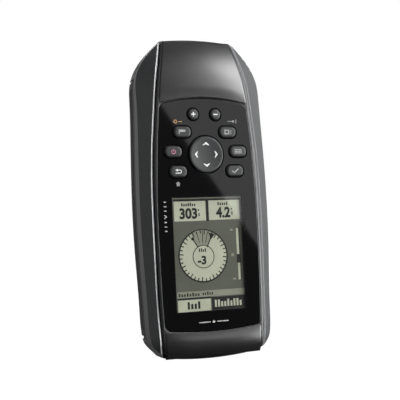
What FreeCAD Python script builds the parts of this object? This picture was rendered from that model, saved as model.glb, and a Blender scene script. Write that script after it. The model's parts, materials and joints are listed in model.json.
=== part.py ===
import FreeCAD, Part

import math
import os

# Handheld GPS navigator: two shells with a gasket, a bezel round a glossy lens, nine keys, a reflective display,
# and two AA cells behind a hooked and latched door.
#
# Millimetres. +Z runs up the body, -Y is the front and +X is the right-hand side seen from the front.
# The origin is the bottom centre of the whole object's box.

V = FreeCAD.Vector
X_AXIS, Y_AXIS, Z_AXIS = V(1, 0, 0), V(0, 1, 0), V(0, 0, 1)

# ---- driving dimensions: the body ---------------------------------------------------------------------------------
HEIGHT = 154.6
HALF_WIDTH = 33.0
DEPTH = 30.0
PROUD = 0.8                             # the keys and the battery door stand this far proud of the shells
FRONT = -DEPTH / 2 + PROUD              # the plane of lens and bezel
BACK = DEPTH / 2                        # the outside of the battery door
SHELL_BACK = BACK - PROUD
SEAM = -4.2                             # middle of the joint between the shells
SEAM_GAP = 0.5
SEAM_FRONT, SEAM_REAR = SEAM - SEAM_GAP / 2, SEAM + SEAM_GAP / 2
WALL = 2.0

BEND_TOP_Z, BEND_TOP_R = 124.0, 70.0    # the front is flat up to this height, then bends back
BEND_BOTTOM_Z, BEND_BOTTOM_R = 10.0, 18.0
FACET_SLOPE = 0.62                      # the bevels at the sides fall back this much for each mm outward
RIB_PITCH, RIB_R = 1.15, 0.32           # fine ribs on the shoulders
RIB_Y = (-13.0, 6.0)

BEZEL_THICK = 1.8
BEZEL_GAP = 0.35                        # groove between bezel and front shell
BEZEL_SEAT = 0.05                       # the bezel lies on this much adhesive
BEZEL_EDGE_R = 0.6                      # the bezel's side of the groove is rounded
LIP_WIDE, LIP_SLOPE = 1.0, 0.36         # the shell's side is a flat lip that tips into the groove
BEZEL_LIP_R, LENS_EDGE_R = 0.25, 0.2    # rounded edges on the two sides of the joint round the lens
BEZEL_RIM = 1.0                         # the shell shows this much past the bezel's ends
LENS_THICK = 1.6
LENS_GAP = 0.12
LENS_CORNER_R = 3.0
WALL_FRONT = FRONT + BEZEL_THICK
WALL_BACK = WALL_FRONT + WALL

GRIP_THICK = 1.2
GRIP_Z = (12.3, 133.6)
GRIP_Y = (-3.6, 8.6)
GRIP_NOTCH = 1.5                        # gap at each end of a grip
FLUTE_WIDE, FLUTE_DEPTH = 0.8, 0.35     # long grooves down the grips
FLUTE_YS = (-1.6, 0.4, 2.4, 4.4)
FLUTE_END = 3.0                         # a groove stops this far from the grip's end

# ---- display and keys ---------------------------------------------------------------------------------------------
SCREEN_Z, SCREEN_W, SCREEN_H = 49.9, 35.4, 54.0
PANEL_GROW, PANEL_THICK = 1.2, 2.0
WINDOW_GROW = 1.6
TRAY_GROW = 2.6
BACKLIGHT_THICK = 1.3
FLEX_X, FLEX_THICK = 9.0, 0.2
PANEL_FRONT = WALL_FRONT + 0.1
PANEL_BACK = PANEL_FRONT + PANEL_THICK

KEY_GAP = 0.4                           # clearance round a key in lens and shell
KEY_FLANGE = 0.7
KEY_FLANGE_Y = (WALL_BACK + 0.1, WALL_BACK + 0.7)
KEY_EDGE_R = 1.3                        # the keys are pillow-shaped
ROUND_KEY_R = 3.0
OVAL_W, OVAL_H, OVAL_CORNER_R = 9.4, 5.9, 2.7
ROUND_KEYS = {"key_zoom_in": (-5.75, 116.6), "key_zoom_out": (5.75, 116.6)}
OVAL_KEYS = {
    "key_mark": (-11.75, 108.1),
    "key_page": (11.75, 108.1),
    "key_power": (-16.75, 98.7),
    "key_menu": (16.75, 98.7),
    "key_back": (-14.65, 89.2),
    "key_select": (14.65, 89.2),
}
ROCKER_Z, ROCKER_R, ROCKER_GAP = 97.3, 8.9, 0.6
ROCKER_EDGE_R = 0.8
ROCKER_DISH_R, ROCKER_DISH = 7.6, 0.4   # radius and depth of the hollow in its front
ROCKER_DISC_BACK = -12.9
ROCKER_STEM_R = 2.8
ROCKER_NUB_R, ROCKER_NUB_OUT, ROCKER_NUB_END = 1.2, 6.2, -9.6
PIVOT_Y, PIVOT_R = -9.0, 1.4            # both tilt axes pass through the middle of this ball
PIVOT_CLEARANCE = 0.1

# ---- electronics --------------------------------------------------------------------------------------------------
BOARD_Y = (-7.4, -6.0)
BOARD_X = 26.5
BOARD_Z = (18.5, 126.5)
BOARD_SCREWS = ((-23.5, 24.0), (23.5, 24.0), (-23.5, 121.5), (23.5, 121.5))
MAT_Y = (-8.9, BOARD_Y[0])
MAT_X = 22.6
MAT_Z = (84.6, 120.6)
DOME_R, DOME_H, DOME_ROOM = 2.2, 0.35, 0.3
COIN_AT, COIN_R, COIN_THICK = (13.0, 102.5), 6.2, 2.0
BEEPER_AT, BEEPER_R, BEEPER_H, BEEPER_HOLE_R = (17.0, 116.5), 4.8, 3.0, 0.8
PATCH = 18.0
PATCH_Y = (-5.4, -1.4)
PATCH_Z = 137.0
USB_Z = 114.5
PORT_BOARD_Y = (-2.0, -1.0)
USB_MOUTH_Y = 8.2
USB_W, USB_H = 7.7, 3.9
USB_ROOM_X, USB_ROOM_Z = 6.0, 4.6       # half sizes of the recess round the socket
USB_FLOOR_Y = 7.4

# ---- batteries, door and latch ------------------------------------------------------------------------------------
CELL_R, CELL_LEN, CELL_NUB_R, CELL_NUB = 7.25, 49.5, 2.7, 1.0
CELL_X, CELL_Y = 7.6, 5.6
BAY_X = 16.2
BAY_Z = (28.5, 87.5)
BAY_FLOOR_Y = -1.9
BAY_SKIN = 1.3
PLATE = 0.4
SPRING_R, SPRING_WIRE = 3.2, 0.4
SPRING_TURNS, SPRING_BENDS = 4, 10

DOOR_X, DOOR_Z, DOOR_CORNER_R = 19.0, (8.6, 90.7), 4.5
DOOR_INSIDE = 13.2
DOOR_GAP = 0.3
DOOR_TOP_GAP = 0.8                      # the door's top edge rises as it tilts
DOOR_EDGE_R = 0.7
LEDGE_Y = DOOR_INSIDE - 0.1             # the shell's ledge under the door
LEDGE_BACK = 11.2
HINGE_Y, HINGE_Z = 12.5, 92.7           # the door tilts about the hook beads on this line
BEAD_R, BEAD_GAP = 0.8, 0.3
TABS = ((-14.0, -6.0), (6.0, 14.0))
TAB_Y, TAB_FOOT = (HINGE_Y - 0.5, HINGE_Y + 0.3), 1.0
GASKET_X, GASKET_Z = 17.8, (26.9, 89.1)
GASKET_WIDE, GASKET_DEEP = 1.2, 0.5

LATCH_Z = 17.7
POCKET_R, POCKET_FLOOR = 7.2, 12.9
BOSS_R, BOSS_END = 8.0, 11.6
WELL_R, WELL_FLOOR = 8.5, 7.5
SHAFT_R, SHAFT_CLEARANCE, SHAFT_END = 2.4, 0.07, 8.3
KNOB_R, KNOB_Y = 3.7, (12.97, 14.85)
CLIP_R, CLIP_Y = 3.8, (11.0, 11.5)
TONGUE_Y = (8.3, 9.7)
TONGUE_HALF, TONGUE_LEN = 2.4, 7.0
RING_Y, RING_WIRE_R, RING_R = 13.95, 0.75, 5.6

FLAP_X, FLAP_CORNER_R = 8.0, 2.0
FLAP_Z = (108.2, 121.2)                 # its hinge is at the top
FLAP_Y = (13.4, 14.9)
FLAP_HINGE_Y = sum(FLAP_Y) / 2
FLAP_HINGE_R = (FLAP_Y[1] - FLAP_Y[0]) / 2
FLAP_GAP = 0.25
PLUG_END = 12.4

# ---- lanyard and screws -------------------------------------------------------------------------------------------
LANYARD_X, LANYARD_Y, LANYARD_TOP = 6.0, (-0.2, 10.6), 8.0
BAR_Y, BAR_Z, BAR_R, BAR_REACH = 5.2, 2.6, 1.1, 1.6
CASE_SCREWS = ((-17.5, 134.0), (17.5, 134.0), (-23.2, 12.8), (23.2, 12.8))
SCREW_R, SCREW_HEAD_R, SCREW_HEAD_H = 1.2, 2.2, 1.5
SCREW_HEAD_Y, SCREW_TIP_Y = 8.6, -8.6
TOWER_R = 3.6
BOSS_POST_R = 3.0
BOARD_SCREW_R, BOARD_HEAD_R, BOARD_HEAD_H = 0.9, 1.8, 1.1

# Right-hand side of the body's outline seen from the front, from the top corner to the bottom corner.
SIDE = ((18.2, 153.3), (24.9, 146.4), (30.3, 138.0), (31.7, 133.0), (32.0, 126.0), (32.5, 101.0), (33.0, 75.0),
        (32.4, 45.0), (31.6, 25.0), (30.9, 11.5), (30.2, 8.6), (27.8, 5.4), (24.4, 2.0))
# Half-width of the bezel at each height.
BEZEL_SIDE = ((17.4, 156.0), (20.6, 142.5), (22.4, 134.0), (24.1, 120.2), (25.7, 103.0), (26.8, 79.0),
              (26.8, 50.0), (26.2, 18.0), (25.5, 6.0), (24.8, -1.0))
# Half-width of the lens at each height, and the crowns of its two end arcs.
LENS_SIDE = ((22.4, 121.3), (23.9, 105.0), (25.2, 80.0), (25.5, 58.0), (25.1, 30.0), (24.5, 14.9))
LENS_TOP, LENS_BOTTOM = 124.3, 13.2
# Depth, side inset, top inset and bottom inset of the sections of the rear half.
REAR_SECTIONS = ((SEAM_REAR, 0.0, 0.0, 0.0), (0.0, 0.1, 0.2, 0.1), (5.0, 0.9, 1.0, 0.7),
                 (9.0, 3.0, 4.2, 2.2), (12.2, 6.6, 9.0, 4.2), (SHELL_BACK, 10.6, 13.5, 6.4))


# ---- small helpers ------------------------------------------------------------------------------------------------
def box(x, y, z):
    """A box from three (low, high) pairs."""
    return Part.makeBox(x[1] - x[0], y[1] - y[0], z[1] - z[0], V(x[0], y[0], z[0]))


def wide_box(half, y, z):
    """A box centred on x = 0."""
    return box((-half, half), y, z)


def cyl_y(x, z, r, y0, y1):
    return Part.makeCylinder(r, y1 - y0, V(x, y0, z), Y_AXIS)


def cyl_x(y, z, r, x0, x1):
    return Part.makeCylinder(r, x1 - x0, V(x0, y, z), X_AXIS)


def cyl_z(x, y, r, z0, z1):
    return Part.makeCylinder(r, z1 - z0, V(x, y, z0), Z_AXIS)


def spline(points):
    curve = Part.BSplineCurve()
    curve.interpolate([V(*p) for p in points])
    return curve.toShape()


def arc(a, b, c):
    return Part.Arc(V(*a), V(*b), V(*c)).toShape()


def split_arc(a, b, c):
    """The same arc as two edges that meet halfway, so that its crown is a vertex."""
    whole = Part.Arc(V(*a), V(*b), V(*c))
    first, last = whole.FirstParameter, whole.LastParameter
    middle = (first + last) / 2
    return [whole.toShape(first, middle), whole.toShape(middle, last)]


def mirror_x(shape):
    return shape.mirror(V(0, 0, 0), X_AXIS)


def both_sides(shape):
    return [shape, mirror_x(shape)]


def fuse(shapes):
    return shapes[0].fuse(list(shapes[1:])).removeSplitter()


def cut_each(shape, cutters):
    """Cut one after another: a single cut by many curved tools can lose some of them."""
    for cutter in cutters:
        shape = shape.cut(cutter)
    return shape


def edges_along(shape, axis):
    """The straight edges of shape that run along axis."""
    found = []
    for e in shape.Edges:
        run = e.Vertexes[-1].Point - e.Vertexes[0].Point
        if run.Length > 0.05 and abs(abs(run.normalize().dot(axis)) - 1) < 1e-4:
            found.append(e)
    return found


def edges_at_y(shape, y):
    """The edges of shape that lie wholly in the plane at y."""
    return [e for e in shape.Edges if abs(e.BoundBox.YMin - y) < 1e-4 and abs(e.BoundBox.YMax - y) < 1e-4]


def rounded_box(x, y, z, r, axis=Y_AXIS):
    """A box whose four edges along axis are rounded."""
    plain = box(x, y, z)
    return plain.makeFillet(r, edges_along(plain, axis))


def save(name, shape):
    solids = shape.Solids
    if not solids or not shape.isValid():
        raise ValueError(f"{name}: {len(solids)} solids, valid {shape.isValid()}")
    Part.makeCompound(solids).exportStep(f"parts/{name}.step")
    b = shape.optimalBoundingBox(False)
    print(f"{name:18s} {len(solids):3d} solids {shape.Volume:9.1f} mm3  x {b.XMin:6.1f} {b.XMax:6.1f}"
          f"  y {b.YMin:6.1f} {b.YMax:6.1f}  z {b.ZMin:6.1f} {b.ZMax:6.1f}")


# ---- outlines that several parts share ----------------------------------------------------------------------------
def body_wire(y, side, top, bottom):
    """The body's outline in the plane at y, shrunk by side at the sides and by top and bottom at the ends."""
    half = HEIGHT / 2

    def place(x, z):
        end = top if z > half else bottom
        return (x * (HALF_WIDTH - side) / HALF_WIDTH, y, half + (z - half) * (half - end) / half)

    right = [place(x, z) for x, z in SIDE]
    left = [(-x, depth, z) for x, depth, z in right]
    top_edges = split_arc(left[0], place(0, HEIGHT), right[0])
    bottom_edges = split_arc(right[-1], place(0, 0), left[-1])
    return Part.Wire([*top_edges, spline(right), *bottom_edges, spline(left[::-1])])


def body_prism(y0, y1, inset):
    """The body's outline, shrunk by inset, between two planes."""
    return Part.Face(body_wire(y0, inset, inset, inset)).extrude(V(0, y1 - y0, 0))


def rear_block(inset):
    """The outside of the rear half, pulled in by inset. Its front is open-ended by the same depth."""
    wires = []
    for y, side, top, bottom in REAR_SECTIONS:
        last = y == SHELL_BACK
        wires.append(body_wire(y - inset if last else y, side + inset, top + inset, bottom + inset))
    return Part.makeLoft(wires, True, False)


def front_y(z):
    """Depth of the front surface at height z."""
    if z > BEND_TOP_Z:
        return FRONT + BEND_TOP_R - math.sqrt(BEND_TOP_R**2 - (z - BEND_TOP_Z) ** 2)
    if z < BEND_BOTTOM_Z:
        return FRONT + BEND_BOTTOM_R - math.sqrt(BEND_BOTTOM_R**2 - (z - BEND_BOTTOM_Z) ** 2)
    return FRONT


def front_slab(offset, thickness, half_width=40.0):
    """A slab that follows the bent front, from offset behind it and thickness deep."""
    heights = (HEIGHT + 3, (BEND_TOP_Z + HEIGHT + 3) / 2, BEND_TOP_Z, BEND_BOTTOM_Z, (BEND_BOTTOM_Z - 3) / 2, -3)
    near = [(-half_width, front_y(z) + offset, z) for z in heights]
    far = [(x, y + thickness, z) for x, y, z in near]
    edges = []
    for line in (near, far):
        edges += [arc(*line[:3]), Part.makeLine(V(*line[2]), V(*line[3])), arc(*line[3:])]
    edges += [Part.makeLine(V(*near[0]), V(*far[0])), Part.makeLine(V(*near[-1]), V(*far[-1]))]
    wire = Part.Wire(Part.__sortEdges__(edges))
    return Part.Face(wire).extrude(V(2 * half_width, 0, 0))


def bezel_prism(grow, y0=-25.0, y1=0.0):
    """Everything between the bezel's two side lines, which grow moves outward."""
    right = [(x + grow, y0, z) for x, z in BEZEL_SIDE]
    left = [(-x, y, z) for x, y, z in right]
    wire = Part.Wire([
        Part.makeLine(V(*left[0]), V(*right[0])),
        spline(right),
        Part.makeLine(V(*right[-1]), V(*left[-1])),
        spline(left[::-1]),
    ])
    return Part.Face(wire).extrude(V(0, y1 - y0, 0))


def side_cutter(offset, slope, inward, outward):
    """The space in front of a strip beside the bezel's right-hand line. The strip lies offset behind the front at
    that line and falls back by slope for each mm outward."""
    inner, outer = [], []
    for x, z in BEZEL_SIDE:
        y = front_y(z) + offset
        inner.append((x - inward, y - slope * inward, z))
        outer.append((x + outward, y + slope * outward, z))
    return Part.makeRuledSurface(spline(inner), spline(outer)).extrude(V(0, -30, 0))


def facet_cutter(offset):
    """The space in front of the right-hand bevel, whose surface offset moves back."""
    return side_cutter(offset, FACET_SLOPE, 6.0, 14.0)


def lip_cutter():
    """The space in front of the flat lip between the right-hand bevel and the groove."""
    reach = BEZEL_GAP + LIP_WIDE
    return side_cutter((FACET_SLOPE + LIP_SLOPE) * reach, -LIP_SLOPE, 0.0, reach + 2.0)


def lens_prism(y0, y1, grow=0.0):
    right = [(x + grow, y0, z) for x, z in LENS_SIDE]
    right[0] = (right[0][0], y0, right[0][2] + grow)
    right[-1] = (right[-1][0], y0, right[-1][2] - grow)
    left = [(-x, y, z) for x, y, z in right]
    wire = Part.Wire([
        arc(left[0], (0, y0, LENS_TOP + grow), right[0]),
        spline(right),
        arc(right[-1], (0, y0, LENS_BOTTOM - grow), left[-1]),
        spline(left[::-1]),
    ])
    plain = Part.Face(wire).extrude(V(0, y1 - y0, 0))
    return plain.makeFillet(LENS_CORNER_R + grow, edges_along(plain, Y_AXIS))


def key_prism(name, grow, y0, y1):
    """The outline of a key or of the rocker, grown by grow, between two depths."""
    if name == "rocker":
        return cyl_y(0, ROCKER_Z, ROCKER_R + grow, y0, y1)
    if name in ROUND_KEYS:
        return cyl_y(*ROUND_KEYS[name], ROUND_KEY_R + grow, y0, y1)
    x, z = OVAL_KEYS[name]
    w, h = OVAL_W / 2 + grow, OVAL_H / 2 + grow
    return rounded_box((x - w, x + w), (y0, y1), (z - h, z + h), OVAL_CORNER_R + grow)


def key_holes(y0, y1):
    holes = [key_prism(name, KEY_GAP, y0, y1) for name in (*ROUND_KEYS, *OVAL_KEYS)]
    return holes + [key_prism("rocker", ROCKER_GAP, y0, y1)]


def screen_box(grow, y0, y1):
    w, h = SCREEN_W / 2 + grow, SCREEN_H / 2 + grow
    return wide_box(w, (y0, y1), (SCREEN_Z - h, SCREEN_Z + h))


def shoulder_ribs():
    """Round cutters across both shoulders, in front of and behind the seam."""
    cutters = []
    points = [V(x, 0, z) for x, z in SIDE[:3]]
    line = spline([(p.x, p.y, p.z) for p in points])
    for p in line.discretize(Distance=RIB_PITCH)[1:]:
        cutters += both_sides(cyl_y(p.x, p.z, RIB_R, *RIB_Y))
    return cutters


def groove_edges(bezel):
    """The long edges that run down the front along the bezel's side lines."""
    widest = max(x for x, _ in BEZEL_SIDE)
    found = []
    for e in bezel.Edges:
        p = e.valueAt((e.FirstParameter + e.LastParameter) / 2)
        near_front = abs(p.y - front_y(p.z)) < BEZEL_GAP
        if e.Length > HEIGHT / 2 and near_front and abs(abs(p.x) - widest) < 0.6:
            found.append(e)
    return found


# ---- the housing --------------------------------------------------------------------------------------------------
def front_shell():
    outside = body_prism(-20, SEAM_FRONT, 0).common(front_slab(0, 40))
    recess = bezel_prism(BEZEL_GAP).common(front_slab(-10, 10 + BEZEL_THICK + BEZEL_SEAT))
    cavity = body_prism(-20, 0, WALL).common(front_slab(BEZEL_THICK + WALL, 40))
    cavity = cut_each(cavity, both_sides(facet_cutter(WALL * 1.2)))
    bevels = both_sides(facet_cutter(0)) + both_sides(lip_cutter())
    shell = cut_each(outside, [recess] + bevels + [cavity] + shoulder_ribs())
    posts = [cyl_y(x, z, BOSS_POST_R, WALL_BACK - 0.5, SEAM_FRONT) for x, z in CASE_SCREWS]
    posts += [cyl_y(x, z, BOARD_HEAD_R, WALL_BACK - 0.5, BOARD_Y[0]) for x, z in BOARD_SCREWS]
    shell = shell.fuse([p.common(outside) for p in posts])
    holes = key_holes(FRONT - 1, WALL_BACK + 1) + [screen_box(WINDOW_GROW, FRONT - 1, WALL_BACK + 1)]
    holes += [cyl_y(x, z, SCREW_R, SCREW_TIP_Y - 0.3, SEAM_FRONT + 1) for x, z in CASE_SCREWS]
    holes += [cyl_y(x, z, BOARD_SCREW_R, BOARD_Y[0] - 2.2, BOARD_Y[0] + 1) for x, z in BOARD_SCREWS]
    return shell.cut(holes).removeSplitter()


def grip_room(extra):
    """The band down the right-hand side that a grip fills, with extra room at its two ends."""
    z = (GRIP_Z[0] - extra, GRIP_Z[1] + extra)
    band = box((HALF_WIDTH / 2, HALF_WIDTH + 2), (GRIP_Y[0], GRIP_Y[1]), z)
    return band.cut(rear_block(GRIP_THICK))


def rear_shell():
    outside = rear_block(0)
    shell = outside.cut(rear_block(WALL))
    blocks = [
        wide_box(DOOR_X + 1.6, (LEDGE_BACK, BACK), (DOOR_Z[0] - 2, HINGE_Z + 3)),
        wide_box(TABS[1][1] + 2, (HINGE_Y - 2.6, BACK), (BAY_Z[1], HINGE_Z + 2.6)),
        wide_box(BAY_X + BAY_SKIN, (BAY_FLOOR_Y - BAY_SKIN, BACK), (BAY_Z[0] - BAY_SKIN, BAY_Z[1] + BAY_SKIN)),
        cyl_y(0, LATCH_Z, WELL_R + BAY_SKIN, WELL_FLOOR - BAY_SKIN, BACK),
        wide_box(LANYARD_X + WALL, (LANYARD_Y[0] - BAY_SKIN, LANYARD_Y[1] + BAY_SKIN), (0, LANYARD_TOP + BAY_SKIN)),
        wide_box(USB_ROOM_X + BAY_SKIN, (USB_FLOOR_Y - BAY_SKIN, BACK),
                 (USB_Z - USB_ROOM_Z - BAY_SKIN, FLAP_Z[1] + 2)),
    ]
    blocks += [cyl_y(x, z, TOWER_R, SEAM_REAR, BACK) for x, z in CASE_SCREWS]
    for block in blocks:
        shell = shell.fuse(block.common(outside))
    cuts = [
        rounded_box((-DOOR_X - DOOR_GAP, DOOR_X + DOOR_GAP), (LEDGE_Y, BACK + 2),
                    (DOOR_Z[0] - DOOR_GAP, DOOR_Z[1] + DOOR_TOP_GAP), DOOR_CORNER_R + DOOR_GAP),
        wide_box(BAY_X, (BAY_FLOOR_Y, BACK), BAY_Z),
        cyl_y(0, LATCH_Z, WELL_R, WELL_FLOOR, BACK),
        gasket_ring(0.15).translated(V(0, -0.1, 0)),
        wide_box(LANYARD_X, LANYARD_Y, (-1, LANYARD_TOP)),
        cyl_x(BAR_Y, BAR_Z, BAR_R, -LANYARD_X - BAR_REACH, LANYARD_X + BAR_REACH),
        flap_room(),
        wide_box(USB_ROOM_X, (USB_FLOOR_Y, BACK), (USB_Z - USB_ROOM_Z, USB_Z + USB_ROOM_Z)),
        wide_box(USB_W / 2 + 0.15, (0, BACK), (USB_Z - USB_H / 2 - 0.15, USB_Z + USB_H / 2 + 0.15)),
    ]
    for x0, x1 in TABS:
        cuts += [hook_room(x0, x1)]
    for x, z in CASE_SCREWS:
        cuts += [cyl_y(x, z, SCREW_R + 0.1, SEAM, BACK), cyl_y(x, z, SCREW_HEAD_R + 0.2, SCREW_HEAD_Y, BACK + 5)]
    cuts += both_sides(grip_room(GRIP_NOTCH))
    return cut_each(shell, cuts + shoulder_ribs()).removeSplitter()


def side_inset(y):
    """How far the rear half's side has drawn in at depth y."""
    for (y0, side0, *_), (y1, side1, *_) in zip(REAR_SECTIONS, REAR_SECTIONS[1:]):
        if y0 <= y <= y1:
            return side0 + (side1 - side0) * (y - y0) / (y1 - y0)
    return 0.0


def right_grip():
    """A rubber pad with long grooves that follow the body's side."""
    grip = grip_room(0).common(rear_block(0))
    for y in FLUTE_YS:
        span = (y - FLUTE_WIDE / 2, y + FLUTE_WIDE / 2)
        band = box((HALF_WIDTH / 2, HALF_WIDTH + 2), span, (GRIP_Z[0] + FLUTE_END, GRIP_Z[1] - FLUTE_END))
        grip = grip.cut(band.cut(body_prism(*span, side_inset(y) + FLUTE_DEPTH)))
    return grip


def shell_gasket():
    ring = body_prism(SEAM_FRONT, SEAM_REAR, 0.5).cut(body_prism(SEAM_FRONT - 1, SEAM_REAR + 1, WALL - 0.1))
    return ring


def front_bezel():
    skin = front_slab(0, BEZEL_THICK).common(bezel_prism(0))
    skin = skin.common(body_prism(-20, 0, BEZEL_RIM)).cut(lens_prism(FRONT - 1, 0, LENS_GAP))
    skin = skin.makeFillet(BEZEL_EDGE_R, groove_edges(skin))
    return skin.makeFillet(BEZEL_LIP_R, lens_edges(skin))


def lens_edges(shape):
    """The front edges of shape that run round the lens."""
    room = lens_prism(FRONT - 1, FRONT + 1, LENS_GAP * 2)
    found = []
    for e in edges_at_y(shape, FRONT):
        middle = e.valueAt((e.FirstParameter + e.LastParameter) / 2)
        if room.isInside(middle, 1e-6, True):
            found.append(e)
    return found


def lens_window():
    pane = lens_prism(FRONT, FRONT + LENS_THICK)
    pane = pane.makeFillet(LENS_EDGE_R, lens_edges(pane))
    return cut_each(pane, key_holes(FRONT - 1, 0))


def lens_mask():
    """The black print behind the lens, with the display window."""
    mask = lens_prism(FRONT + LENS_THICK, WALL_FRONT)
    return cut_each(mask, key_holes(FRONT - 1, 0) + [screen_box(0, FRONT - 1, 0)])


# ---- keys and rocker ----------------------------------------------------------------------------------------------
def key(name):
    """A key cap with a flange that holds it behind the front shell."""
    cap = key_prism(name, 0, FRONT - PROUD + 0.05, KEY_FLANGE_Y[0])
    cap = cap.makeFillet(KEY_EDGE_R, edges_at_y(cap, FRONT - PROUD + 0.05))
    return cap.fuse(key_prism(name, KEY_GAP + KEY_FLANGE, *KEY_FLANGE_Y)).removeSplitter()


def rocker_pad():
    disc = key_prism("rocker", 0, FRONT - PROUD, ROCKER_DISC_BACK)
    disc = disc.makeFillet(ROCKER_EDGE_R, edges_at_y(disc, FRONT - PROUD))
    ball_r = (ROCKER_DISH_R**2 + ROCKER_DISH**2) / (2 * ROCKER_DISH)
    disc = disc.cut(Part.makeSphere(ball_r, V(0, FRONT - PROUD + ROCKER_DISH - ball_r, ROCKER_Z)))
    parts = [disc, cyl_y(0, ROCKER_Z, ROCKER_STEM_R, ROCKER_DISC_BACK - 0.1, PIVOT_Y)]
    for x, z in compass_points(ROCKER_NUB_OUT):
        parts.append(cyl_y(x, z, ROCKER_NUB_R, ROCKER_DISC_BACK - 0.1, ROCKER_NUB_END))
    return fuse(parts).cut(Part.makeSphere(PIVOT_R + PIVOT_CLEARANCE, V(0, PIVOT_Y, ROCKER_Z)))


def compass_points(reach):
    return [(reach, ROCKER_Z), (-reach, ROCKER_Z), (0, ROCKER_Z + reach), (0, ROCKER_Z - reach)]


def rocker_pivot():
    return Part.makeSphere(PIVOT_R, V(0, PIVOT_Y, ROCKER_Z))


def switch_places():
    return [*ROUND_KEYS.values(), *OVAL_KEYS.values(), *compass_points(ROCKER_NUB_OUT)]


def keypad_mat():
    mat = rounded_box((-MAT_X, MAT_X), MAT_Y, MAT_Z, 4)
    room = DOME_H + DOME_ROOM
    pockets = [cyl_y(x, z, DOME_R + 0.2, MAT_Y[1] - room, MAT_Y[1] + 1) for x, z in switch_places()]
    return mat.cut(pockets + [cyl_y(0, ROCKER_Z, ROCKER_STEM_R + 0.8, MAT_Y[0] - 1, MAT_Y[1] + 1)])


def dome_switches():
    """Snap domes: shallow caps of a sphere, flat side on the board."""
    ball_r = (DOME_R**2 + DOME_H**2) / (2 * DOME_H)
    domes = []
    for x, z in switch_places():
        ball = Part.makeSphere(ball_r, V(x, BOARD_Y[0] - DOME_H + ball_r, z))
        domes.append(ball.common(cyl_y(x, z, DOME_R + 1, BOARD_Y[0] - 2, BOARD_Y[0])))
    return Part.makeCompound(domes)


# ---- display ------------------------------------------------------------------------------------------------------
def lcd_panel():
    return screen_box(PANEL_GROW, PANEL_FRONT, PANEL_BACK)


def backlight_panel():
    return screen_box(PANEL_GROW - 0.4, PANEL_BACK + FLEX_THICK, PANEL_BACK + BACKLIGHT_THICK)


TRAY_BOTTOM = SCREEN_Z - SCREEN_H / 2 - TRAY_GROW


def lcd_tray():
    """The frame that holds the panel and the backlight, with a slot for the ribbon in its lower side."""
    tray = screen_box(TRAY_GROW, PANEL_BACK, BOARD_Y[0])
    room = screen_box(PANEL_GROW - 0.4, PANEL_BACK - 1, PANEL_BACK + BACKLIGHT_THICK)
    slot = wide_box(FLEX_X + 0.2, (PANEL_BACK - 1, PANEL_BACK + FLEX_THICK + 0.1), (TRAY_BOTTOM - 1, TRAY_BOTTOM + 2))
    return tray.cut([room, slot])


def lcd_flex():
    """The ribbon from the panel's lower edge, over the side of the tray, to the board."""
    y = (PANEL_BACK, PANEL_BACK + FLEX_THICK)
    lip = wide_box(FLEX_X, y, (TRAY_BOTTOM - 0.2 - FLEX_THICK, TRAY_BOTTOM + TRAY_GROW - PANEL_GROW + 0.3))
    drop = wide_box(FLEX_X, (y[0], BOARD_Y[0]), (TRAY_BOTTOM - 0.2 - FLEX_THICK, TRAY_BOTTOM - 0.2))
    return fuse([lip, drop])


# ---- boards -------------------------------------------------------------------------------------------------------
def main_board():
    board = rounded_box((-BOARD_X, BOARD_X), BOARD_Y, BOARD_Z, 3)
    return board.cut([cyl_y(x, z, BOARD_SCREW_R + 0.1, BOARD_Y[0] - 1, BOARD_Y[1] + 1) for x, z in BOARD_SCREWS])


def on_board(x, z, height):
    """A part with a rectangular foot, on the back of the main board."""
    return box(x, (BOARD_Y[1], BOARD_Y[1] + height), z)


def board_chips():
    feet = [
        ((-20, -8), (58, 70), 1.2),
        ((-3, 7), (60, 68), 1.0),
        ((12, 20), (50, 62), 1.1),
        ((-18, -10), (36, 44), 0.9),
        ((-2, 6), (34, 39), 0.9),
        ((13, 18), (72, 77), 1.6),
        ((-20, -14), (76, 81), 1.6),
    ]
    chips = [on_board(x, z, height) for x, z, height in feet]
    for k in range(6):
        x, z = 10 + 2.4 * k, 88.5
        chips.append(on_board((x, x + 1.2), (z, z + 2), 0.8))
    return Part.makeCompound(chips)


def shield_can():
    outer, inner = on_board((-22, -3), (96, 118), 2.2), on_board((-21.8, -3.2), (96.2, 117.8), 2.0)
    return outer.cut(inner)


def coin_cell():
    can = cyl_y(*COIN_AT, COIN_R, BOARD_Y[1], BOARD_Y[1] + COIN_THICK - 0.4)
    lid = cyl_y(*COIN_AT, COIN_R - 1, BOARD_Y[1], BOARD_Y[1] + COIN_THICK)
    return can.fuse(lid).removeSplitter()


def beeper():
    body = cyl_y(*BEEPER_AT, BEEPER_R, BOARD_Y[1], BOARD_Y[1] + BEEPER_H)
    return body.cut(cyl_y(*BEEPER_AT, BEEPER_HOLE_R, BOARD_Y[1] + BEEPER_H - 1, BOARD_Y[1] + BEEPER_H + 1))


def antenna_plate():
    """The ground plate under the patch, with a foot on each side down to the board's top edge."""
    half = PATCH / 2 + 1.5
    plate = wide_box(half, (PATCH_Y[1], PATCH_Y[1] + 0.6), (PATCH_Z - half, PATCH_Z + half))
    foot = box((6, half), (BOARD_Y[1], PATCH_Y[1] + 0.6), (BOARD_Z[1] - 3, BOARD_Z[1] - 2.4))
    strap = box((6, half), (PATCH_Y[1], PATCH_Y[1] + 0.6), (BOARD_Z[1] - 3, PATCH_Z - half))
    return fuse([plate] + both_sides(foot) + both_sides(strap))


def antenna_patch():
    half = PATCH / 2
    block = wide_box(half, PATCH_Y, (PATCH_Z - half, PATCH_Z + half))
    return block.makeChamfer(0.6, edges_along(block, Y_AXIS))


def port_board():
    return wide_box(9, PORT_BOARD_Y, (USB_Z - 7, USB_Z + 6))


def port_header():
    """Stiff pin header between the main board and the port board."""
    return wide_box(5, (BOARD_Y[1], PORT_BOARD_Y[0]), (USB_Z - 6, USB_Z - 3.5)).translated(V(2.5, 0, 0))


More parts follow.
